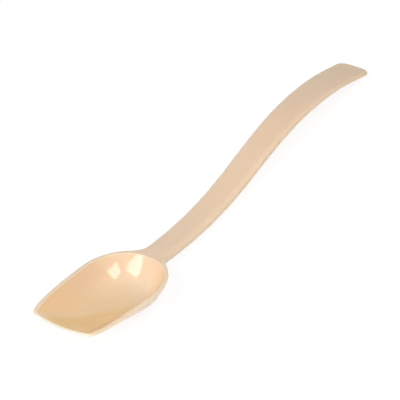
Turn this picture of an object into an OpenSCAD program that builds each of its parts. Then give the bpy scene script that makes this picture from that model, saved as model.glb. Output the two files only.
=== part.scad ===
// Buffet spoon moulded in one piece: a square-fronted shovel bowl that runs into a long S-curved handle.
// It lies as it comes to rest, on the underside of the bowl and the end of the handle.
// Millimetres. +X runs from the front edge to the handle's end, +Z is up, the origin is under the middle.

/* [Bowl outline] */
// Length of the bowl, from the front edge to the back of the rim
bowl_length = 73.2; // [68:0.2:80]
// Width of the bowl where it is widest
bowl_width = 48.2; // [44:0.2:54]
// Depth of the round back, from the widest place to the back of the rim
back_depth = 27; // [23:0.5:30]
// How far behind the widest place the bowl is deepest
deepest_behind = 2; // [0:0.5:5]
// Width across the two front corners
front_width = 37.4; // [32:0.2:42]
// How far the middle of the front edge stands ahead of its corners
front_bow = 2.7; // [1:0.1:6]
// Length over which the side leaves the front corner straight back
corner_run = 1; // [0.5:0.1:3]
// Length over which the side then spreads towards its full width
corner_spread = 3.2; // [1:0.1:16]
// How far the widest part of the side carries on towards the back
back_shoulder = 15.8; // [11:0.2:18]
// How square the back of the rim is across the handle
back_square = 11.8; // [9:0.2:16]

/* [Bowl section] */
// Height of the bowl, from the rim down to the underside
bowl_depth = 14.4; // [12:0.1:18]
// Wall at the deepest place
wall = 1.5; // [1:0.1:2.2]
// Width of the flat rim at the front edge
rim_front = 0.85; // [0.8:0.05:1.6]
// Width of the flat rim along the sides
rim_side = 2.4; // [1.6:0.1:2.8]
// Width of the flat rim at the back
rim_back = 3.4; // [2:0.1:4]
// Height of the upright edge below the rim
lip = 1; // [0.8:0.1:2]
// Rounding of the rim's edges
rim_round = 0.4; // [0.2:0.05:0.45]
// How steeply the floor comes up at the front, where 1 is a straight ramp
front_fullness = 2; // [1.6:0.1:2.8]
// How steeply the walls come up at the sides
side_fullness = 3.8; // [2.8:0.1:4.4]
// How steeply the wall comes up at the back
back_fullness = 3.6; // [2.4:0.1:4]
// How soon the front corners soften towards the floor
corner_softening = 2; // [1:0.25:4]

/* [Handle line] */
// Distance from the front edge to the end of the handle
reach = 254; // [244:0.5:265]
// Length of the flare in which the handle leaves the back of the bowl
flare_length = 6.8; // [5:0.2:9]
// Length behind the flare that stays level with the rim
level_length = 1.6; // [0.5:0.1:10]
// Length of the handle from its crest to its end
crest_to_end = 38; // [30:0.5:48]
// Height of the crest above the rim
crest_height = 25.8; // [22:0.2:32]
// Height of the handle's end above the rim
end_height = 21; // [17:0.2:24]
// Slope of the handle at its end, fall for each unit of length
end_slope = 0.18; // [0.05:0.01:0.3]
// Share of the climb that stays low before it rises
low_share = 0.48; // [0.35:0.01:0.55]
// Share of the climb that flattens out before the crest
crest_share = 0.417; // [0.3:0.01:0.5]
// Share of the fall that keeps the crest's way, and then the end's way
fall_share = 0.36; // [0.2:0.01:0.45]

/* [Handle section] */
// Width of the handle behind the bowl
neck_width = 15.3; // [12:0.1:18]
// Width of the handle at its end
end_width = 20.5; // [17:0.1:24]
// Thickness of the handle behind the bowl
neck_thick = 3.9; // [3.4:0.1:4.6]
// Thickness of the handle at its end
end_thick = 1.8; // [1.4:0.1:2.4]
// Width of the soft shoulder along each top edge behind the bowl
neck_shoulder = 3.5; // [2:0.1:4.5]
// Width of the soft shoulder along each top edge at the end
end_shoulder = 1.8; // [0.8:0.1:2.4]
// Radius of the edges of the underside
under_round = 0.6; // [0.3:0.05:0.7]
// Radius of the two corners of the handle's end, seen from above
end_corner = 4; // [2:0.25:6]

/* [Hidden] */

spoon_colour = [0.91, 0.80, 0.65];

// Steps along half the rim: the back, one side, and half the front edge
back_steps = 18;
side_steps = 13;
front_steps = 9;
half_count = back_steps + side_steps + front_steps;
around = 2 * half_count;
// Rings from the floor of the bowl up to the rim, and from the lip down to the underside
inner_rings = 14;
outer_rings = 11;
// Steps in each rounded edge of the rim
round_steps = 2;
// Rim steps on each side of the middle that the handle grows from, and how many of them stay flat
flare_half = 7;
flat_half = 3;
// Rings below the lip at which the handle's underside leaves the bowl
flare_drop = 3;
// Stations along the flare, the climb to the crest, the fall from it, and the rounded end
flare_steps = 12;
climb_steps = 44;
fall_steps = 9;
corner_steps = 8;

widest_at = bowl_length - back_depth;
centre = [widest_at + deepest_behind, 0];
flare_end = bowl_length + flare_length;
rise_start = flare_end + level_length;
crest_at = reach - crest_to_end;
climb_length = crest_at - rise_start;
// How width and thickness change along the handle, where 1 is an even taper
width_power = 1.7;
thick_power = 2.5;
// Height of the soft shoulder as a share of the thickness
shoulder_share = 0.45;
// Share of each flare line's length that keeps the line's way at its two ends
flare_pull = 0.5;
// Halvings in the search for the angle of rest, and its upper limit in degrees
rest_halvings = 30;
rest_limit = 30;

function unit(v) = v / norm(v);
function mixed(a, b, share) = a * (1 - share) + b * share;
function every(lists) = [for (l = lists) for (item = l) item];

// Point at a share of the way along a curve from p[0] to p[3] that p[1] and p[2] pull, and its way there
function curve(p, t) =
    pow(1 - t, 3) * p[0] + 3 * pow(1 - t, 2) * t * p[1] + 3 * (1 - t) * t * t * p[2] + pow(t, 3) * p[3];
function curve_way(p, t) =
    unit(pow(1 - t, 2) * (p[1] - p[0]) + 2 * (1 - t) * t * (p[2] - p[1]) + t * t * (p[3] - p[2]));

// The rim seen from above, drawn in from the outer edge by its own amount at the front, sides and back.
// It starts in the middle of the back and goes round past the left side.
function rim(front_in, side_in, back_in) =
    let (
        wide = [widest_at, bowl_width / 2 - side_in],
        back = bowl_length - back_in,
        corner = [front_bow + front_in, front_width / 2 - side_in],
        back_line = [[back, 0], [back, back_square], wide + [back_shoulder, 0], wide],
        side_line = [wide, [corner.x + corner_spread, wide.y], corner + [corner_run, 0], corner],
        half = concat(
            [for (i = [0:back_steps - 1]) curve(back_line, i / back_steps)],
            [for (i = [0:side_steps - 1]) curve(side_line, i / side_steps)],
            [for (i = [0:front_steps]) [
                front_in + front_bow * pow(1 - i / front_steps, 2),
                corner.y * (1 - i / front_steps)
            ]]
        )
    )
    concat(half, [for (i = [half_count - 1:-1:1]) [half[i].x, -half[i].y]]);

// A level ring of the rim's shape, or one at a share of the way out from the centre to an edge.
// Towards the centre it turns into an oval, so that the front corners soften into the floor.
function level_ring(edge, z) = [for (e = edge) [e.x, e.y, z]];
function steepness(way) =
    mixed(side_fullness, way.x < 0 ? front_fullness : back_fullness, way.x * way.x);
function bowl_point(edge, i, share, top, sink) =
    let (
        far = norm(edge[i] - centre),
        way = (edge[i] - centre) / far,
        long = way.x < 0 ? centre.x - edge[half_count].x : edge[0].x - centre.x,
        oval = 1 / norm([way.x / long, way.y / edge[back_steps].y]),
        out = share * mixed(oval, far, pow(share, corner_softening))
    )
    [centre.x + out * way.x, out * way.y, top - sink * (1 - pow(share, steepness(way)))];
function bowl_ring(edge, share, top, sink) =
    [for (i = [0:around - 1]) bowl_point(edge, i, share, top, sink)];
// Rings crowd together towards the rim, where the wall is steepest
function ring_share(k, count) = sin(90 * k / count);

inner_sink = bowl_depth - wall - rim_round;
outer_sink = bowl_depth - lip;
inner_edge = rim(rim_front, rim_side, rim_back);
outer_edge = rim(0, 0, 0);
rings = concat(
    [for (k = [1:inner_rings])
        bowl_ring(inner_edge, ring_share(k, inner_rings), -rim_round, inner_sink)],
    [for (k = [1:round_steps])
        let (a = 90 * k / round_steps, off = rim_round * (1 - cos(a)))
        level_ring(rim(rim_front - off, rim_side - off, rim_back - off), rim_round * (sin(a) - 1))],
    [for (k = [0:round_steps])
        let (a = 90 * k / round_steps, off = rim_round * (1 - sin(a)))
        level_ring(rim(off, off, off), rim_round * (cos(a) - 1))],
    [level_ring(outer_edge, -lip)],
    [for (k = [outer_rings - 1:-1:1])
        bowl_ring(outer_edge, ring_share(k, outer_rings), -lip, outer_sink)]
);
ring_count = len(rings);
floor_top = [centre.x, 0, -rim_round - inner_sink];
floor_under = [centre.x, 0, -bowl_depth];

// The patch of the bowl's outer wall that the handle grows from, in rows from the rim's flat downwards
top_row = inner_rings + round_steps;
under_row = top_row + round_steps + 1 + flare_drop;
edge_rows = under_row - top_row - 1;
function ring_index(i) = (i + around) % around;
// Row and rim step of each point round that patch: along the top, down one side, back below, up the other
patch = concat(
    [for (i = [flare_half:-1:-flare_half]) [top_row, i]],
    [for (row = [top_row + 1:under_row - 1]) [row, -flare_half]],
    [for (i = [-flare_half:flare_half]) [under_row, i]],
    [for (row = [under_row - 1:-1:top_row + 1]) [row, flare_half]]
);
patch_count = len(patch);
function on_ring(row, i) = rings[row][ring_index(i)];

// Section of the handle as [across, up] points in the order of the patch: a flat top with a soft shoulder
// along each edge, upright sides, and a flat underside with small round edges
function shelf(i, half, across, drop) =
    let (a = 90 * (abs(i) - flat_half) / (flare_half - flat_half))
    abs(i) <= flat_half
        ? [(half - across) * i / flat_half, 0]
        : [sign(i) * (half - across * (1 - sin(a))), -drop * (1 - cos(a))];
function section(half, thick, shoulder) =
    let (
        drop = shoulder_share * thick,
        side = [for (k = [1:edge_rows]) -mixed(drop, thick - under_round, k / (edge_rows + 1))]
    )
    concat(
        [for (i = [flare_half:-1:-flare_half]) shelf(i, half, shoulder, drop)],
        [for (z = side) [-half, z]],
        [for (i = [-flare_half:flare_half])
            let (p = shelf(i, half, under_round, under_round))
            [p.x, -thick - p.y]],
        [for (k = [edge_rows - 1:-1:0]) [half, side[k]]]
    );

// The handle's line in side view, a place and a way at each station, with the amount its end corners cut off
climb_line = [
    [rise_start, 0],
    [rise_start + low_share * climb_length, 0],
    [crest_at - crest_share * climb_length, crest_height],
    [crest_at, crest_height]
];
end_way = unit([1, -end_slope]);
corner_start = [reach, end_height] - end_way * end_corner;
fall_pull = fall_share * (corner_start.x - crest_at);
fall_line = [
    [crest_at, crest_height],
    [crest_at + fall_pull, crest_height],
    corner_start - end_way * fall_pull,
    corner_start
];
stations = concat(
    [[[flare_end, 0], [1, 0], 0]],
    [for (k = [0:climb_steps]) let (t = k / climb_steps) [curve(climb_line, t), curve_way(climb_line, t), 0]],
    [for (k = [1:fall_steps]) let (t = k / fall_steps) [curve(fall_line, t), curve_way(fall_line, t), 0]],
    [for (k = [1:corner_steps])
        let (a = 90 * k / corner_steps)
        [corner_start + end_way * end_corner * sin(a), end_way, end_corner * (1 - cos(a))]]
);
function placed_section(station) =
    let (
        place = station[0],
        way = station[1],
        share = (place.x - bowl_length) / (reach - bowl_length),
        half = mixed(neck_width, end_width, pow(share, width_power)) / 2 - station[2],
        thick = mixed(neck_thick, end_thick, pow(share, thick_power)),
        shoulder = mixed(neck_shoulder, end_shoulder, share)
    )
    [for (p = section(half, thick, shoulder)) [place.x - p.y * way.y, p.x, place.y + p.y * way.x]];
bar = [for (s = stations) placed_section(s)];

// The flare: each line leaves the bowl along the wall or the rim and runs straight into the handle
function leaving_way(row, i) =
    let (
        aside = pow(i / flare_half, 2),
        down = (row - top_row) / (under_row - top_row),
        round_rim = i == 0 ? [1, 0, 0] : unit(on_ring(row, i - sign(i)) - on_ring(row, i + sign(i))),
        up_wall = unit(on_ring(row - 1, i) - on_ring(row + 1, i))
    )
    unit((1 - aside) * (1 - down) * [1, 0, 0] + aside * round_rim + (1 - aside) * down * up_wall);
flare_lines = [
    for (j = [0:patch_count - 1])
        let (
            from = on_ring(patch[j][0], patch[j][1]),
            to = bar[0][j],
            pull = flare_pull * norm(to - from)
        )
        [from, from + pull * leaving_way(patch[j][0], patch[j][1]), to - [pull, 0, 0], to]
];
flare = [for (k = [1:flare_steps - 1]) [for (line = flare_lines) curve(line, k / flare_steps)]];
loops = concat(flare, bar);

// One skin over everything: points, then faces
skin_points = concat([floor_top], every(rings), [floor_under], every(loops));
under_point = 1 + ring_count * around;
loop_start = under_point + 1;
function ring_at(row, i) = 1 + row * around + ring_index(i);
function loop_at(s, j) =
    let (k = j % patch_count)
    s < 0 ? ring_at(patch[k][0], patch[k][1]) : loop_start + s * patch_count + k;
function in_patch(row, i) = row >= top_row && row < under_row && (i < flare_half || i >= around - flare_half);
function quad(a, b, c, d) = [[a, b, c], [a, c, d]];
last_loop = len(loops) - 1;
skin_faces = concat(
    [for (i = [0:around - 1]) [0, ring_at(0, i + 1), ring_at(0, i)]],
    every([for (row = [0:ring_count - 2]) for (i = [0:around - 1]) if (!in_patch(row, i))
        quad(ring_at(row, i), ring_at(row, i + 1), ring_at(row + 1, i + 1), ring_at(row + 1, i))]),
    [for (i = [0:around - 1]) [ring_at(ring_count - 1, i), ring_at(ring_count - 1, i + 1), under_point]],
    every([for (s = [-1:last_loop - 1]) for (j = [0:patch_count - 1])
        quad(loop_at(s, j), loop_at(s + 1, j), loop_at(s + 1, j + 1), loop_at(s, j + 1))]),
    [[for (j = [patch_count - 1:-1:0]) loop_at(last_loop, j)]]
);

// How it rests: turned about the sideways axis until the bowl and the end of the handle are equally low
function turned(p, angle) =
    [p.x * cos(angle) + p.z * sin(angle), p.y, p.z * cos(angle) - p.x * sin(angle)];
function lowest(points, angle) = min([for (p = points) turned(p, angle).z]);
bowl_lowest = concat([floor_under], every([for (row = [under_row:ring_count - 1]) rings[row]]));
function rest(low, high, left) =
    let (middle = (low + high) / 2)
    left == 0 ? middle
    : lowest(bowl_lowest, middle) < lowest(bar[len(bar) - 1], middle)
        ? rest(middle, high, left - 1)
        : rest(low, middle, left - 1);
rest_angle = rest(0, rest_limit, rest_halvings);
rested = [for (p = skin_points) turned(p, rest_angle)];
shift = [
    (min([for (p = rested) p.x]) + max([for (p = rested) p.x])) / 2,
    0,
    min([for (p = rested) p.z])
];

module spoon() {
    color(spoon_colour)
        polyhedron(points = [for (p = rested) p - shift], faces = skin_faces, convexity = 8);
}

spoon();
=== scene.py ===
# %% [markdown]
# # A moulded buffet spoon
# The spoon is one piece of glossy beige plastic: a square-fronted shovel bowl and a long S-curved handle.
# It could be sculpted by hand or cut from blocks, but a mould maker draws it as a few curves. So this
# script does the same: it computes the rim, the bowl and the handle as numpy arrays, joins them into one
# closed skin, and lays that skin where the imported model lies.

# %% Load the frame and keep its box
import math

import bpy
import numpy as np
from mathutils import Matrix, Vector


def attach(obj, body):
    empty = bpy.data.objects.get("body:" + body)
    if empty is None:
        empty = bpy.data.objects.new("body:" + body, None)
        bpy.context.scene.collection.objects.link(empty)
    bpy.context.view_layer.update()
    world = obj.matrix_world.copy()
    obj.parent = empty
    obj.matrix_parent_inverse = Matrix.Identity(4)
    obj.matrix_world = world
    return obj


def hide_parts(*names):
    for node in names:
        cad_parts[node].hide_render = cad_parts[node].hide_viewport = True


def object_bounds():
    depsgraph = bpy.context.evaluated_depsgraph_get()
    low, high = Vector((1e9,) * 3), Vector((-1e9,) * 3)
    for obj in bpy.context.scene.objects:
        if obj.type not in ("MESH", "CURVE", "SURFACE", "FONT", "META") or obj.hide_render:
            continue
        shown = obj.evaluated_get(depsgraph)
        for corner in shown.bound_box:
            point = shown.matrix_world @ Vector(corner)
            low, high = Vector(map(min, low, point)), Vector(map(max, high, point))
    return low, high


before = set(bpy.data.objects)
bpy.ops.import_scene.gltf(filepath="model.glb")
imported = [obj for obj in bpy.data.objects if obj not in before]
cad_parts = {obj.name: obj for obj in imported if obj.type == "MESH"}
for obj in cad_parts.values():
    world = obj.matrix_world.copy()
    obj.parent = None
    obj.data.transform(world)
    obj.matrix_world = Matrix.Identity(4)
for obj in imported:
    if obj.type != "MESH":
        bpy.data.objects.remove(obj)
cad_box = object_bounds()
print("CAD box in metres:", [[round(v, 4) for v in corner] for corner in cad_box])

# %% [markdown]
# ## Sizes
# All lengths are in millimetres until the mesh is made. The spoon is first drawn with its rim level:
# x runs from the front edge to the end of the handle, y goes across, and the rim is at z = 0. A share is
# a part of a length. The higher a fullness, the steeper the bowl's wall there, and the higher a power,
# the nearer to its end the handle changes.

# %% Sizes of the bowl
bowl_length = 73.2
bowl_width = 48.2
back_depth = 27.0
deepest_behind = 2.0
front_width = 37.4
front_bow = 2.7
corner_run = 1.0
corner_spread = 3.2
back_shoulder = 15.8
back_square = 11.8
bowl_depth = 14.4
wall = 1.5
rim_front = 0.85
rim_side = 2.4
rim_back = 3.4
lip = 1.0
rim_round = 0.4
front_fullness = 2.0
side_fullness = 3.8
back_fullness = 3.6
corner_softening = 2.0
print(f"Bowl {bowl_length} x {bowl_width} mm, {bowl_depth} mm deep, wall {wall} mm")

# %% Sizes of the handle
reach = 254.0
flare_length = 6.8
level_length = 1.6
crest_to_end = 38.0
crest_height = 25.8
end_height = 21.0
end_slope = 0.18
low_share = 0.48
crest_share = 0.417
fall_share = 0.36
neck_width = 15.3
end_width = 20.5
neck_thick = 3.9
end_thick = 1.8
neck_shoulder = 3.5
end_shoulder = 1.8
under_round = 0.6
end_corner = 4.0
end_round = 0.35
width_power = 1.7
thick_power = 2.5
shoulder_share = 0.45
flare_pull = 0.5
print(f"Handle to {reach} mm from the front edge, {neck_thick} mm thick, {end_thick} mm at its end")

# %% Places that follow from the sizes
widest_at = bowl_length - back_depth
centre = np.array([widest_at + deepest_behind, 0.0])
flare_end = bowl_length + flare_length
rise_start = flare_end + level_length
crest_at = reach - crest_to_end
climb_length = crest_at - rise_start
print(f"The handle rises from x = {rise_start:.1f} mm to its crest at x = {crest_at:.1f} mm")

# %% [markdown]
# ## How finely the skin is drawn
# The mesh follows the rim, so that no facet cuts across an edge. Half the rim has steps along the back,
# one side and half the front edge, and the handle grows out of some of the steps at the back.

# %% Steps of the mesh
back_steps = 72
side_steps = 56
front_steps = 36
half_count = back_steps + side_steps + front_steps
around = 2 * half_count
inner_rings = 48
outer_rings = 44
round_steps = 6
flare_half = 28
flat_half = 12
flare_drop = 12
flare_steps = 44
climb_steps = 150
fall_steps = 34
corner_steps = 20
end_steps = 5
print(f"{around} steps round the rim")

# %% [markdown]
# ## Curves
# Most lines of the spoon are curves with two end points and two points that pull them. They are worked
# out for all their steps at once.


# %% Curve helpers
def curve(points, share):
    """Points at each share of the way from p0 to p3: (1-t)^3 p0 + 3(1-t)^2 t p1 + 3(1-t) t^2 p2 + t^3 p3."""
    t = np.asarray(share, float)
    p0, p1, p2, p3 = (np.asarray(p, float) for p in points)
    weights = [(1 - t) ** 3, 3 * (1 - t) ** 2 * t, 3 * (1 - t) * t**2, t**3]
    return sum(w[..., None] * p for w, p in zip(weights, (p0, p1, p2, p3)))


def unit(vectors):
    """Each vector divided by its own length."""
    return vectors / np.linalg.norm(vectors, axis=-1, keepdims=True)


def curve_way(points, share):
    """Unit way of that curve: (1-t)^2 (p1-p0) + 2(1-t) t (p2-p1) + t^2 (p3-p2), made one long."""
    t = np.asarray(share, float)
    p0, p1, p2, p3 = (np.asarray(p, float) for p in points)
    weights = [(1 - t) ** 2, 2 * (1 - t) * t, t**2]
    return unit(sum(w[..., None] * p for w, p in zip(weights, (p1 - p0, p2 - p1, p3 - p2))))


def mixed(a, b, share):
    """a where share is 0 and b where it is 1: a (1 - share) + b share."""
    return a * (1 - share) + b * share


# %% [markdown]
# ## The rim
# Seen from above, the rim is a gently bowed front edge, two sides that spread and then run parallel, and
# a round back. An inner edge has the same curves, drawn in by its own amount at the front, sides and
# back, because the real rim is thin at the front and broad where the handle meets it.


# %% The rim seen from above
def rim(front_in, side_in, back_in):
    """Outline from the middle of the back, past the left side, and round. The front edge is a parabola:
    x = bow * (y / half width)^2."""
    wide = np.array([widest_at, bowl_width / 2 - side_in])
    back = bowl_length - back_in
    corner = np.array([front_bow + front_in, front_width / 2 - side_in])
    back_line = [[back, 0], [back, back_square], wide + [back_shoulder, 0], wide]
    side_line = [wide, [corner[0] + corner_spread, wide[1]], corner + [corner_run, 0], corner]
    across = 1 - np.arange(front_steps + 1) / front_steps
    half = np.concatenate([
        curve(back_line, np.arange(back_steps) / back_steps),
        curve(side_line, np.arange(side_steps) / side_steps),
        np.stack([front_in + front_bow * across**2, corner[1] * across], axis=1),
    ])
    return np.concatenate([half, half[-2:0:-1] * [1, -1]])


outer_edge = rim(0, 0, 0)
inner_edge = rim(rim_front, rim_side, rim_back)
print(f"Rim {np.ptp(outer_edge[:, 0]):.1f} x {np.ptp(outer_edge[:, 1]):.1f} mm")

# %% [markdown]
# ## The bowl
# The bowl's inside and underside are stacks of rings. Each ring is a share of the way out from the
# deepest place, and it sinks by 1 - share^steepness: the walls at the sides and back are steep, and the
# floor runs up gently to the front edge. Towards the middle the rings turn oval, so the two front
# corners fade out in the floor.


# %% Rings of the bowl
def bowl_rings(edge, shares, top, sink):
    """Rings (share, step, xyz) inside an edge: z = top - sink * (1 - share^steepness). Seen from above, a
    point is share * (oval (1 - share^softening) + edge share^softening) away from the deepest place."""
    out = edge - centre
    length = np.linalg.norm(out, axis=1)
    way = out / length[:, None]
    forward = way[:, 0] < 0
    long = np.where(forward, centre[0] - edge[half_count, 0], edge[0, 0] - centre[0])
    oval = 1 / np.hypot(way[:, 0] / long, way[:, 1] / edge[back_steps, 1])
    ends = np.where(forward, front_fullness, back_fullness)
    steepness = mixed(side_fullness, ends, way[:, 0] ** 2)
    share = shares[:, None]
    distance = share * mixed(oval, length, share**corner_softening)
    plan = centre + distance[..., None] * way
    return np.concatenate([plan, (top - sink * (1 - share**steepness))[..., None]], axis=2)


def level_rings(insets, heights):
    """Level rings of the rim's shape, one for each (front, side, back) inset and its height."""
    flat = [np.column_stack([rim(*inset), np.full(around, z)]) for inset, z in zip(insets, heights)]
    return np.array(flat)


inner_sink = bowl_depth - wall - rim_round
outer_sink = bowl_depth - lip
inner_shares = np.sin(np.pi / 2 * np.arange(1, inner_rings + 1) / inner_rings)
outer_shares = np.sin(np.pi / 2 * np.arange(outer_rings - 1, 0, -1) / outer_rings)
print(f"The inside sinks {inner_sink:.1f} mm below its round edge")
print(f"The outside sinks {outer_sink:.1f} mm below the lip")

# %% The rounded edges of the rim
turn = np.pi / 2 * np.arange(round_steps + 1) / round_steps
flat_rim = np.array([rim_front, rim_side, rim_back])
rising = level_rings(
    [flat_rim - rim_round * (1 - math.cos(a)) for a in turn[1:]],
    [rim_round * (math.sin(a) - 1) for a in turn[1:]],
)
falling = level_rings(
    [np.full(3, rim_round * (1 - math.sin(a))) for a in turn],
    [rim_round * (math.cos(a) - 1) for a in turn],
)
rings = np.concatenate([
    bowl_rings(inner_edge, inner_shares, -rim_round, inner_sink),
    rising,
    falling,
    level_rings([np.zeros(3)], [-lip]),
    bowl_rings(outer_edge, outer_shares, -lip, outer_sink),
])
ring_count = len(rings)
floor_top = np.array([[*centre, -rim_round - inner_sink]])
floor_under = np.array([[*centre, -bowl_depth]])
print(f"{ring_count} rings, from the floor over the rim to the underside")

# %% [markdown]
# ## The handle's section and line
# A moulded handle has a flat top with a soft shoulder along each edge, short upright sides and a flat
# underside. The section keeps one number of points all along, and as many lie round the patch of the
# bowl's wall that the handle grows from, so that sections can simply be joined. The section is carried
# along a line that leaves the rim level, climbs in an S, goes over a crest and falls to a thin end with
# two round corners.

# %% The patch of the bowl's wall that the handle grows from
top_row = inner_rings + round_steps
under_row = top_row + round_steps + 1 + flare_drop
edge_rows = under_row - top_row - 1
steps_out = np.arange(-flare_half, flare_half + 1)
inner_rows = np.arange(top_row + 1, under_row)
patch_row = np.concatenate([
    np.full(len(steps_out), top_row), inner_rows, np.full(len(steps_out), under_row), inner_rows[::-1]
])
patch_step = np.concatenate([
    steps_out[::-1], np.full(edge_rows, -flare_half), steps_out, np.full(edge_rows, flare_half)
])
patch_count = len(patch_row)
print(f"The handle's sections have {patch_count} points")


# %% Sections of the handle
def shelf(step, half, across, drop):
    """One face of the section: flat, then a quarter oval at each end that is across wide and drop high."""
    bend = np.clip((np.abs(step) - flat_half) / (flare_half - flat_half), 0, 1) * np.pi / 2
    flat = (half - across) * np.clip(step / flat_half, -1, 1)
    side = np.sign(step) * across * np.sin(bend)
    return flat + side, -drop * (1 - np.cos(bend))


def sections(half, thick, shoulder):
    """Sections (station, point, across and up) for whole arrays of half widths and thicknesses: the top
    shelf, one side straight down, the lower shelf and the other side back up."""
    half, thick, shoulder = half[:, None], thick[:, None], shoulder[:, None]
    drop = shoulder_share * thick
    down = np.arange(1, edge_rows + 1) / (edge_rows + 1)
    side_z = -mixed(drop, thick - under_round, down)
    top_y, top_z = shelf(steps_out[::-1], half, shoulder, drop)
    low_y, low_z = shelf(steps_out, half, under_round, under_round)
    side_y = np.broadcast_to(half, side_z.shape)
    across = np.concatenate([top_y, -side_y, low_y, side_y], axis=1)
    up = np.concatenate([top_z, side_z, -thick - low_z, side_z[:, ::-1]], axis=1)
    return np.stack([across, up], axis=2)


# %% The handle's line
end_way = unit(np.array([1.0, -end_slope]))
corner_start = np.array([reach, end_height]) - end_way * end_corner
fall_pull = fall_share * (corner_start[0] - crest_at)
climb_line = [
    [rise_start, 0],
    [rise_start + low_share * climb_length, 0],
    [crest_at - crest_share * climb_length, crest_height],
    [crest_at, crest_height],
]
fall_line = [
    [crest_at, crest_height],
    [crest_at + fall_pull, crest_height],
    corner_start - end_way * fall_pull,
    corner_start,
]
climb = np.arange(climb_steps + 1) / climb_steps
fall = np.arange(1, fall_steps + 1) / fall_steps
corner_turn = np.pi / 2 * np.arange(1, corner_steps + 1) / corner_steps
end_turn = np.pi / 2 * np.arange(1, end_steps + 1) / end_steps
past_corner = np.concatenate([
    (end_corner - end_round) * np.sin(corner_turn), end_corner - end_round * (1 - np.sin(end_turn))
])
place = np.concatenate([
    [[flare_end, 0]],
    curve(climb_line, climb),
    curve(fall_line, fall),
    corner_start + end_way * past_corner[:, None],
])
way = np.concatenate([
    [[1.0, 0.0]],
    curve_way(climb_line, climb),
    curve_way(fall_line, fall),
    np.tile(end_way, (len(past_corner), 1)),
])
edge_in = end_round * (1 - np.cos(end_turn))
before_corner = np.zeros(len(place) - len(past_corner))
cut_in = np.concatenate([before_corner, end_corner * (1 - np.cos(corner_turn)), end_corner + edge_in])
sunk = np.concatenate([before_corner, np.zeros(corner_steps), edge_in])
print(f"The handle's line has {len(place)} places")

# %% Sections laid along the line
along = (place[:, 0] - bowl_length) / (reach - bowl_length)
half_width = mixed(neck_width, end_width, along**width_power) / 2 - cut_in
thickness = mixed(neck_thick, end_thick, along**thick_power) - 2 * sunk
shoulder_width = mixed(neck_shoulder, end_shoulder, along)
section = sections(half_width, thickness, shoulder_width)
section[..., 1] -= sunk[:, None]
bar = np.stack([
    place[:, :1] - section[..., 1] * way[:, 1:],
    section[..., 0],
    place[:, 1:] + section[..., 1] * way[:, :1],
], axis=2)
print(f"{len(bar)} sections, {thickness[0]:.1f} mm thick at the bowl and {thickness[-1]:.1f} mm at the end")

# %% [markdown]
# ## The flare
# Behind the bowl the rim widens into the handle without an edge. Each line of the flare leaves the bowl
# straight back, along the rim or up the wall, or in between, and ends straight along the handle. So plan
# and side view both get their fillet from the same curve.


# %% Lines of the flare
def ring_points(row, step):
    """Points of the rings by row and by step. Steps count from the middle of the back, either way."""
    return rings[row, step % around]


aside = ((patch_step / flare_half) ** 2)[:, None]
down = ((patch_row - top_row) / (under_row - top_row))[:, None]
side_sign = np.where(patch_step < 0, -1, 1)
round_rim = unit(
    ring_points(patch_row, patch_step - side_sign) - ring_points(patch_row, patch_step + side_sign)
)
up_wall = unit(ring_points(patch_row - 1, patch_step) - ring_points(patch_row + 1, patch_step))
straight = np.array([1.0, 0.0, 0.0])
leaving = unit((1 - aside) * (1 - down) * straight + aside * round_rim + (1 - aside) * down * up_wall)
start = ring_points(patch_row, patch_step)
pull = flare_pull * np.linalg.norm(bar[0] - start, axis=1, keepdims=True)
flare_share = np.arange(1, flare_steps) / flare_steps
flare = curve(
    [start, start + pull * leaving, bar[0] - pull * straight, bar[0]],
    flare_share[:, None],
)
loops = np.concatenate([flare, bar])
print(f"The flare is {len(flare)} sections long")

# %% [markdown]
# ## How thick the plastic is
# Beige plastic lets a little light in, so thin places look warmer than thick ones. A shader could guess
# that from the light alone, but only roughly. Here the wall is known everywhere from the sizes, so its
# thickness is kept with each point, and the material paints that warmth into the colour as painted light.
# On the rim one looks along the wall and not through it, so the rim counts as thick and is painted pale.

# %% Thickness at every point
outwards = unit(outer_edge - centre)[:, 0]
rim_width = mixed(rim_side, np.where(outwards < 0, rim_front, rim_back), outwards**2)
rim_rings = 2 * round_steps + 2
ring_shares = np.concatenate([inner_shares, np.ones(rim_rings), outer_shares])
ring_thickness = mixed(wall, rim_width, ring_shares[:, None])
seen_along_rim = 3.0
ring_thickness[ring_shares == 1] = seen_along_rim
patch_thickness = ring_thickness[patch_row, patch_step % around]
flare_thickness = mixed(patch_thickness, thickness[0], flare_share[:, None])
bar_thickness = np.broadcast_to(thickness[:, None], (len(bar), patch_count))
point_thickness = np.concatenate([
    [wall], ring_thickness.ravel(), [wall], flare_thickness.ravel(), bar_thickness.ravel()
])
print(f"The plastic is {point_thickness.min():.2f} to {point_thickness.max():.2f} mm thick")

# %% [markdown]
# ## One closed skin
# The rings and the loops share their points where the handle leaves the bowl, so the skin has no seam
# there. Faces are listed as whole arrays of corner numbers, each in the order that makes it face
# outwards.

# %% Points and faces
points = np.concatenate([floor_top, rings.reshape(-1, 3), floor_under, loops.reshape(-1, 3)])
under_point = 1 + ring_count * around
loop_start = under_point + 1
step = np.arange(around)
row = np.arange(ring_count - 1)[:, None]
next_step = (step + 1) % around
grid = np.stack([
    1 + row * around + step,
    1 + (row + 1) * around + step,
    1 + (row + 1) * around + next_step,
    1 + row * around + next_step,
], axis=2)
in_patch = (row >= top_row) & (row < under_row) & ((step < flare_half) | (step >= around - flare_half))
bowl_faces = grid[~in_patch]

point = np.arange(patch_count)
loop_index = np.concatenate([
    (1 + patch_row * around + patch_step % around)[None],
    loop_start + np.arange(len(loops))[:, None] * patch_count + point,
])
handle_faces = np.stack([
    loop_index[:-1],
    np.roll(loop_index[:-1], -1, axis=1),
    np.roll(loop_index[1:], -1, axis=1),
    loop_index[1:],
], axis=2).reshape(-1, 4)

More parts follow.
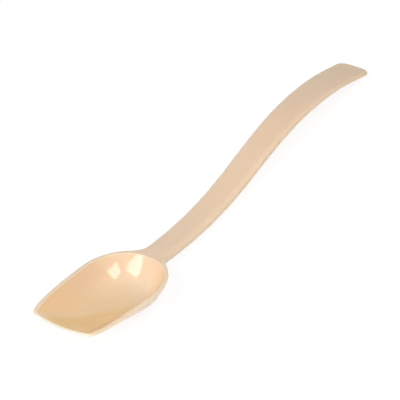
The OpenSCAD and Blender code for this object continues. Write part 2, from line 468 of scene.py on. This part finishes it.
top_pole = np.stack([np.zeros(around, int), 1 + step, 1 + next_step], axis=1)
last_ring = 1 + (ring_count - 1) * around
under_pole = np.stack([last_ring + next_step, last_ring + step, np.full(around, under_point)], axis=1)
print(f"{len(points)} points, {len(bowl_faces) + len(handle_faces)} four-sided faces")

# %% The flat end of the handle
upper = loop_index[-1, :len(steps_out)]
lower = loop_index[-1, len(steps_out) + edge_rows:2 * len(steps_out) + edge_rows][::-1]
end_faces = np.stack([upper[:-1], upper[1:], lower[1:], lower[:-1]], axis=1)
left_side = loop_index[-1, len(steps_out) - 1:len(steps_out) + edge_rows]
right_side = np.append(loop_index[-1, 2 * len(steps_out) + edge_rows:], upper[0])
left_fan = np.stack([np.full(edge_rows, lower[-1]), left_side[:-1], left_side[1:]], axis=1)
right_fan = np.stack([np.full(edge_rows, lower[0]), right_side[:-1], right_side[1:]], axis=1)
print(f"{len(end_faces) + len(left_fan) + len(right_fan)} faces close the end")

# %% [markdown]
# ## How it rests
# Put down on a table, the spoon tips until the bowl and the end of the handle touch it together. The
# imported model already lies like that, so the skin is turned by the same angle and laid in the same box.
# Left alone it would be a tenth of a millimetre shorter than that box, because its end is rounded, and
# a hundredth higher, because it is finer than the model.

# %% Turn the spoon to its resting place
rest_angle = math.radians(9.618)


def turned(vectors, angle):
    """Vectors turned about the sideways axis: x cos a + z sin a, y, z cos a - x sin a."""
    c, s = math.cos(angle), math.sin(angle)
    return vectors @ np.array([[c, 0, -s], [0, 1, 0], [s, 0, c]])


laid = turned(points, rest_angle) / 1000
laid_low, laid_size = laid.min(axis=0), np.ptp(laid, axis=0)
box_low, box_high = np.array(cad_box[0]), np.array(cad_box[1])
rested = box_low + (laid - laid_low) * (box_high - box_low) / laid_size
print("Spoon against the box, in mm:", np.round(1000 * (laid_size - (box_high - box_low)), 3))

# %% [markdown]
# ## The mesh
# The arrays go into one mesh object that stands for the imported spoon. Its place is in its points, so the
# object itself stays at the origin, unturned and unscaled.

# %% Make the spoon
crease_angle = math.radians(50)


def make_piece(name, corners, face_lists):
    """A smooth-shaded mesh object, with sharp edges only where its faces meet at more than crease_angle."""
    mesh = bpy.data.meshes.new(name)
    mesh.from_pydata(corners.tolist(), [], [face for faces in face_lists for face in faces.tolist()])
    mesh.validate()
    mesh.shade_smooth()
    mesh.set_sharp_from_angle(angle=crease_angle)
    piece = bpy.data.objects.new(name, mesh)
    bpy.context.scene.collection.objects.link(piece)
    return piece


spoon = make_piece(
    "spoon_shell",
    rested,
    [top_pole, bowl_faces, under_pole, handle_faces, end_faces, left_fan, right_fan],
)
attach(spoon, "root")
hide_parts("spoon")
spoon.data.attributes.new("thickness", "FLOAT", "POINT").data.foreach_set("value", point_thickness)
triangles = sum(len(face.vertices) - 2 for face in spoon.data.polygons)
print(f"The spoon has {triangles} triangles")

# %% [markdown]
# ## A helper for materials
# A procedural material is arithmetic on patterns. Written as Python sums it can be read like a formula,
# so one small class lets a socket be added, multiplied and so on, and each sum becomes a Math node.


# %% Shader helpers
class Value:
    """A node's output that can be used in a sum. Each operator adds one Math node to the material."""

    def __init__(self, paint, socket):
        self.paint, self.socket = paint, socket

    def sum(self, operation, first, second):
        """A Math node of this operation on two values or numbers."""
        return self.paint.node("ShaderNodeMath", {"operation": operation}, {0: first, 1: second})

    def __add__(self, other):
        return self.sum("ADD", self, other)

    def __sub__(self, other):
        return self.sum("SUBTRACT", self, other)

    def __rsub__(self, other):
        return self.sum("SUBTRACT", other, self)

    def __mul__(self, other):
        return self.sum("MULTIPLY", self, other)

    __radd__ = __add__
    __rmul__ = __mul__


class Paint:
    """The nodes of one material or world."""

    def __init__(self, tree):
        self.tree = tree
        tree.nodes.clear()

    def node(self, kind, settings=None, inputs=None, output=None):
        """Adds a node: first its settings, then a number, colour or link for each named input."""
        made = self.tree.nodes.new(kind)
        for key, setting in (settings or {}).items():
            if key == "stops":
                self.set_stops(made.color_ramp, setting)
            else:
                setattr(made, key, setting)
        for key, given in (inputs or {}).items():
            socket = made.inputs[key] if isinstance(key, int) else self.shown(made.inputs, key)
            if isinstance(given, Value):
                self.tree.links.new(given.socket, socket)
            else:
                socket.default_value = given
        return Value(self, self.shown(made.outputs, output)) if made.outputs else made

    def set_stops(self, ramp, stops):
        """Gives a colour ramp these stops, each a place from 0 to 1 and a grey level."""
        for _ in range(len(stops) - len(ramp.elements)):
            ramp.elements.new(1.0)
        for element, (place, level) in zip(ramp.elements, stops):
            element.position = place
            element.color = (level, level, level, 1)

    @staticmethod
    def shown(sockets, name):
        """The first socket in use that has this name, or the first in use if no name is given."""
        return next(s for s in sockets if s.enabled and name in (None, s.name))


def new_paint(name):
    """A new material and the Paint that fills it."""
    material = bpy.data.materials.new(name)
    material.use_nodes = True
    return material, Paint(material.node_tree)


# %% [markdown]
# ## The plastic
# The real spoon is beige plastic with a polished skin, through which a little light enters. The colour
# follows the wall's thickness as painted light: thin walls are painted a warmer amber for the light that
# passes through them. A single colour would look like paint, so the colour also drifts a little, as pigment
# does in a melt, with faint streaks along the way the melt ran and a fine grain of pigment. The skin is
# glossy. A very fine orange peel, a thousandth of a millimetre high, and the hairlines of the mould's
# polish keep it from being a perfect mirror. Light goes about three millimetres deep in all colours
# alike.

# %% Patterns on the plastic
plastic, paint = new_paint("beige_plastic")
coordinates = paint.node("ShaderNodeTexCoord", output="Object")


def noise(scale, detail, roughness=0.5, stretch=(1, 1, 1)):
    """A noise from 0 to 1 with about scale waves to the metre, drawn out where stretch is under 1."""
    placed = paint.node("ShaderNodeMapping", {}, {"Vector": coordinates, "Scale": stretch})
    return paint.node(
        "ShaderNodeTexNoise",
        {"noise_dimensions": "3D"},
        {"Vector": placed, "Scale": scale, "Detail": detail, "Roughness": roughness},
    )


def ramp(value, low, high):
    """0 where value is low or less, 1 where it is high or more, and even in between."""
    return paint.node("ShaderNodeValToRGB", {"stops": [(low, 0.0), (high, 1.0)]}, {"Fac": value})


def blend(share, first, second):
    """The first colour where share is 0 and the second where it is 1."""
    return paint.node(
        "ShaderNodeMix", {"data_type": "RGBA"}, {"Factor": share, "A": first, "B": second}
    )


def shade(colour, factors):
    """A colour whose red, green and blue are each multiplied by their own factor."""
    return paint.node("ShaderNodeVectorMath", {"operation": "MULTIPLY"}, {0: colour, 1: factors})


cloud = noise(scale=28, detail=3)
streaks = noise(scale=420, detail=4, roughness=0.6, stretch=(0.09, 1, 1))
grain = noise(scale=2600, detail=2, roughness=0.7)
peel = noise(scale=650, detail=2)
hairlines = noise(scale=5200, detail=2, stretch=(0.03, 1, 1))
print("Patterns ready: cloud, streaks, grain, orange peel and hairlines")

# %% Painted light that follows the thickness
# Painted light: thin walls are painted a deeper amber that stands in for light passing through the plastic,
# and thick walls and the rim are painted a paler beige.
thin_painted_light_colour = (0.900, 0.605, 0.315, 1)
thick_painted_light_colour = (0.843, 0.649, 0.462, 1)
thinnest, thickest = 0.85, 2.63
thickness_here = paint.node("ShaderNodeAttribute", {"attribute_name": "thickness"}, output="Fac")
painted_light_share = ramp((thickness_here - thinnest) * (1 / (thickest - thinnest)), low=0.0, high=1.0)
painted_light_base = blend(painted_light_share, thin_painted_light_colour, thick_painted_light_colour)
print(f"Thin colour up to {thinnest} mm, thick colour from {thickest} mm")

# %% Drift and flecks of the pigment
tone_strength, streak_strength, fleck_strength = 0.5, 0.35, 0.25
paler_tint = (1.01, 1.02, 1.03)
warmer_tint = (0.99, 0.98, 0.97)
fleck_tint = (0.97, 0.96, 0.92)
tone = ramp(cloud, low=0.30, high=0.70)
flecks = ramp(grain, low=0.66, high=0.80)
paler = shade(painted_light_base, paler_tint)
warmer = shade(painted_light_base, warmer_tint)
colour = blend(tone * tone_strength + streaks * streak_strength, paler, warmer)
colour = blend(flecks * fleck_strength, colour, shade(painted_light_base, fleck_tint))
print(f"The colour drifts by {tone_strength} of cloud and {streak_strength} of streaks")

# %% Gloss and relief of the skin
least_rough = 0.03
streak_rough, cloud_rough, line_rough = 0.02, 0.02, 0.03
peel_height = 0.000001
grain_part, streak_part, line_part = 0.15, 0.4, 0.12
plastic_ior = 1.6
light_depth = 0.003
polish_lines = ramp(hairlines, low=0.58, high=0.72)
roughness = streaks * streak_rough + cloud * cloud_rough + polish_lines * line_rough + least_rough
skin_height = peel + grain * grain_part + streaks * streak_part - polish_lines * line_part
relief = paint.node(
    "ShaderNodeBump",
    {},
    {"Strength": 1.0, "Distance": peel_height, "Height": skin_height},
)
skin = paint.node(
    "ShaderNodeBsdfPrincipled",
    {},
    {
        "Base Color": colour,
        "Roughness": roughness,
        "IOR": plastic_ior,
        "Normal": relief,
        "Subsurface Weight": 1.0,
        "Subsurface Radius": (1.0, 1.0, 1.0),
        "Subsurface Scale": light_depth,
    },
)
paint.node("ShaderNodeOutputMaterial", {}, {"Surface": skin})
spoon.data.materials.append(plastic)
print("Plastic made with", len(plastic.node_tree.nodes), "nodes")

# %% [markdown]
# ## The floor and the background
# A product picture stands on white. The floor is pale. To the camera and in reflections it is a dark
# grey that glows almost white instead, so that it shows as white without more light on the spoon, and
# the shadow stays faint. It lies a fifth of a millimetre under the spoon, so that the two never meet.

# %% Floor
floor_size = 6.0
floor_level = -0.0002
floor_grey = 0.92
shown_grey = 0.20
floor_glow = 0.86
corners = 0.5 * floor_size * np.array([[-1, -1, 0], [1, -1, 0], [1, 1, 0], [-1, 1, 0]])
floor = make_piece("floor", corners + [0, 0, floor_level], [np.arange(4)[None]])
white_floor, floor_paint = new_paint("white_floor")


def seen_share(target):
    """1 for rays from the camera, and for those that a shiny or clear surface passes on."""
    camera = target.node("ShaderNodeLightPath", output="Is Camera Ray")
    glossy = target.node("ShaderNodeLightPath", output="Is Glossy Ray")
    passed = target.node("ShaderNodeLightPath", output="Is Transmission Ray")
    return camera + glossy + passed


def grey(level):
    """A grey of this level, without transparency."""
    return (level, level, level, 1)


matt = floor_paint.node("ShaderNodeBsdfDiffuse", {}, {"Color": grey(floor_grey)})
shown = floor_paint.node("ShaderNodeBsdfDiffuse", {}, {"Color": grey(shown_grey)})
glow = floor_paint.node("ShaderNodeEmission", {}, {"Color": grey(1), "Strength": floor_glow})
white = floor_paint.node("ShaderNodeAddShader", {}, {0: shown, 1: glow})
surface = floor_paint.node(
    "ShaderNodeMixShader", {}, {0: seen_share(floor_paint), 1: matt, 2: white}
)
floor_paint.node("ShaderNodeOutputMaterial", {}, {"Surface": surface})
floor.data.materials.append(white_floor)
print(f"Floor {floor_size} m wide, with a glow of {floor_glow} where it is seen")

# %% World
fill_light = 0.135
white_glow = 1.0
world = bpy.data.worlds.new("studio")
bpy.context.scene.world = world
world.use_nodes = True
sky = Paint(world.node_tree)
fill = sky.node("ShaderNodeBackground", {}, {"Color": grey(1), "Strength": fill_light})
backdrop = sky.node("ShaderNodeBackground", {}, {"Color": grey(1), "Strength": white_glow})
sky_surface = sky.node("ShaderNodeMixShader", {}, {0: seen_share(sky), 1: fill, 2: backdrop})
sky.node("ShaderNodeOutputWorld", {}, {"Surface": sky_surface})
print(f"World ready, soft fill {fill_light}")

# %% [markdown]
# ## Softboxes
# Two rectangular lamps stand to the left and the right of the camera, and the polished bowl shows each
# as a bright patch in its back wall. Where a patch lies in the photograph tells where its lamp stands,
# because a mirror's normal halves the angle between camera and lamp. A third, low lamp on the right
# lights the sides of the handle. The photograph shows no patch of it, so reflections leave it out.


# %% Directions round the spoon
def direction(azimuth, elevation):
    """The way from the spoon at azimuth a (0 is -Y, 90 is +X) and elevation e, both in degrees:
    (sin a cos e, -cos a cos e, sin e)."""
    a, e = math.radians(azimuth), math.radians(elevation)
    return np.array([math.sin(a) * math.cos(e), -math.cos(a) * math.cos(e), math.sin(e)])


def place_facing(thing, position, azimuth, elevation, roll):
    """Puts thing at position with its back towards azimuth and elevation, rolled about that way. Before
    the roll, its right is level, and its up is back x right."""
    back = direction(azimuth, elevation)
    right = direction(azimuth + 90, 0)
    up = np.cross(back, right)
    c, s = math.cos(math.radians(roll)), math.sin(math.radians(roll))
    matrix = np.eye(4)
    matrix[:3, :3] = np.stack([right * c + up * s, up * c - right * s, back], axis=1)
    matrix[:3, 3] = position
    thing.matrix_world = Matrix(matrix)


# %% Three softboxes
bowl_wall = np.array([-0.066, 0.008, 0.008])
lamp_distance = 2.43


def softbox(name, way, back, roll, width, height, radiance):
    """A rectangular lamp at lamp_distance from the bowl's wall along way, with its back towards back. Both
    are an azimuth and an elevation. Width and height are shares of that distance. The power is
    radiance * pi * area, so that the lamp is equally bright at any size."""
    lamp = bpy.data.lights.new(name, "AREA")
    lamp.shape = "RECTANGLE"
    lamp.size, lamp.size_y = width * lamp_distance, height * lamp_distance
    lamp.energy = radiance * math.pi * lamp.size * lamp.size_y
    holder = bpy.data.objects.new(name, lamp)
    bpy.context.scene.collection.objects.link(holder)
    place_facing(holder, bowl_wall + lamp_distance * direction(*way), *back, roll)
    print(f"{name}: {lamp.size:.2f} x {lamp.size_y:.2f} m, {lamp.energy:.1f} W")
    return holder


softbox(
    "right_softbox",
    way=(-24.2, 51.1),
    back=(42.5, 17.9),
    roll=-29.3,
    width=0.912,
    height=0.531,
    radiance=4.61,
)
softbox(
    "left_softbox",
    way=(-82.8, 45.2),
    back=(-168.8, 22.5),
    roll=140.0,
    width=0.505,
    height=1.298,
    radiance=4.69,
)
side_softbox = softbox(
    "side_softbox",
    way=(31.8, 22.6),
    back=(31.8, 22.6),
    roll=0,
    width=0.90,
    height=0.42,
    radiance=0.95,
)
side_softbox.visible_glossy = False

# %% [markdown]
# ## The camera
# The camera's place was found by laying the spoon's own outline over the one in the photograph: a long
# lens, about 1.2 m away, turned a little about its axis. Ways are in degrees, the sensor and the lens in
# millimetres, and all else in metres.

# %% Camera
camera_way = (-44.252, 39.688)
camera_roll = -13.168
looks_at = np.array([-0.00913, 0.00400, 0.010])
camera_distance = 1.21093
sensor_width, lens_length = 36, 209.639
camera_data = bpy.data.cameras.new("camera")
camera_data.sensor_width = sensor_width
camera_data.lens = lens_length
camera = bpy.data.objects.new("camera", camera_data)
bpy.context.scene.collection.objects.link(camera)
place_facing(camera, looks_at + camera_distance * direction(*camera_way), *camera_way, camera_roll)
bpy.context.scene.camera = camera
bpy.context.scene.view_settings.view_transform = "Standard"
print("Camera at", [round(v, 4) for v in camera.matrix_world.translation])

# %% [markdown]
# ## Finish
# The spoon drawn here has to lie in the imported model's box, and it was laid in that box above. Here the
# scene is brought up to date.

# %% Finish
bpy.context.view_layer.update()
